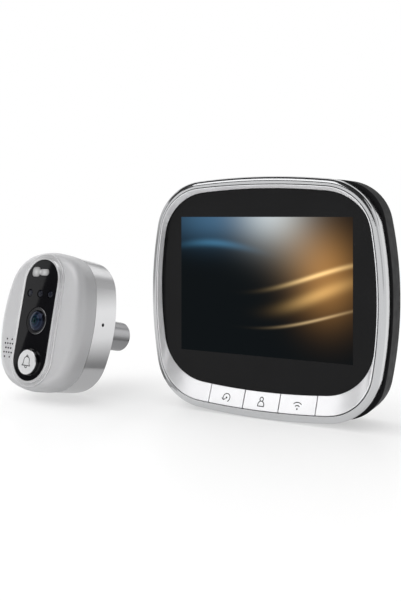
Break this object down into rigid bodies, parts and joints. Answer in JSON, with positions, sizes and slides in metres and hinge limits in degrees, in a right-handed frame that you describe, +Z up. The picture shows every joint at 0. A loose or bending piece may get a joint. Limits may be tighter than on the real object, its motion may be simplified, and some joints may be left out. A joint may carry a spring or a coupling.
{
  "type": "peephole door camera",
  "caption": "Peephole door camera: a silver door unit with window, lens, bell button and barrel, and an indoor monitor with dished silver fascia, chrome rim and keys in its chin.",
  "frame": {"origin": "middle of the foot of the box round both units, on the surface that they stand on", "axes": "+X to the right for someone who faces the screen, +Y from the screen to the back of the monitor, +Z up"},
  "size_m": [0.2048, 0.0748, 0.113],
  "materials": {
    "black_glass": "gloss",
    "display": "gloss",
    "silver_paint": "satin",
    "chrome": "polished",
    "dark_shell": "matte",
    "window_black": "gloss",
    "ring_silver": "satin",
    "lens_black": "gloss",
    "lens_glass": "gloss",
    "lamp_clear": "gloss",
    "milky_lens": "satin",
    "circuit_board": "satin",
    "black_parts": "matte",
    "ivory_socket": "matte",
    "steel": "satin",
    "battery_wrap": "satin",
    "antenna_film": "satin",
    "rubber": "matte",
    "foam": "matte",
    "barrel_metal": "satin",
    "brass": "satin"
  },
  "bodies": {
    "housings": {"front_glass": "black_glass", "screen_module": "display", "fascia": "silver_paint", "chrome_rim": "chrome", "key_board": "circuit_board", "key_switches": "black_parts", "main_board": "circuit_board", "main_chips": "black_parts", "monitor_microphone": "steel", "board_screws": "steel", "back_shell": "dark_shell", "shell_screws": "steel", "battery_pack": "battery_wrap", "monitor_speaker": "black_parts", "wifi_antenna": "antenna_film", "usb_socket": "steel", "card_reader": "steel", "power_switch_body": "black_parts", "cable_socket": "ivory_socket", "outdoor_front_shell": "silver_paint", "window_bezel": "silver_paint", "window_panel": "window_black", "camera_module": "black_parts", "lens_barrel": "lens_black", "lens_glass": "lens_glass", "infrared_leds": "lamp_clear", "motion_sensor_lens": "milky_lens", "motion_sensor": "steel", "bell_switch": "black_parts", "outdoor_board": "circuit_board", "outdoor_board_screws": "steel", "outdoor_chips": "black_parts", "outdoor_speaker": "black_parts", "outdoor_microphone": "steel", "ribbon_socket": "ivory_socket", "seal_gasket": "rubber", "outdoor_ring": "ring_silver", "set_screw": "steel", "outdoor_back_plate": "dark_shell", "outdoor_housing_screws": "steel", "foam_pad": "foam", "mounting_barrel": "barrel_metal", "barrel_nut": "brass"},
    "bell_button": {"bell_button": "silver_paint"},
    "key_left": {"key_left": "silver_paint"},
    "key_middle": {"key_middle": "silver_paint"},
    "key_right": {"key_right": "silver_paint"},
    "power_switch": {"power_switch": "black_parts"},
    "door_bracket": {"door_bracket": "steel"}
  },
  "joints": [
    {"name": "bell_button_press", "type": "slide", "parent": "housings", "child": "bell_button", "axis": [0.1122, 0.9698, -0.2164], "range_m": [0, 0.0008], "stiffness_N_per_m": 500, "springref_m": -0.0004},
    {"name": "key_left_press", "type": "slide", "parent": "housings", "child": "key_left", "axis": [0, 1, 0], "range_m": [0, 0.0005], "stiffness_N_per_m": 500, "springref_m": -0.0004},
    {"name": "key_middle_press", "type": "slide", "parent": "housings", "child": "key_middle", "axis": [0, 1, 0], "range_m": [0, 0.0005], "stiffness_N_per_m": 500, "springref_m": -0.0004},
    {"name": "key_right_press", "type": "slide", "parent": "housings", "child": "key_right", "axis": [0, 1, 0], "range_m": [0, 0.0005], "stiffness_N_per_m": 500, "springref_m": -0.0004},
    {"name": "power_switch_slide", "type": "slide", "parent": "housings", "child": "power_switch", "axis": [0, 0, 1], "range_m": [0, 0.003]},
    {"name": "door_bracket_slide", "type": "slide", "parent": "housings", "child": "door_bracket", "axis": [0, 0, -1], "range_m": [0, 0.005]}
  ]
}
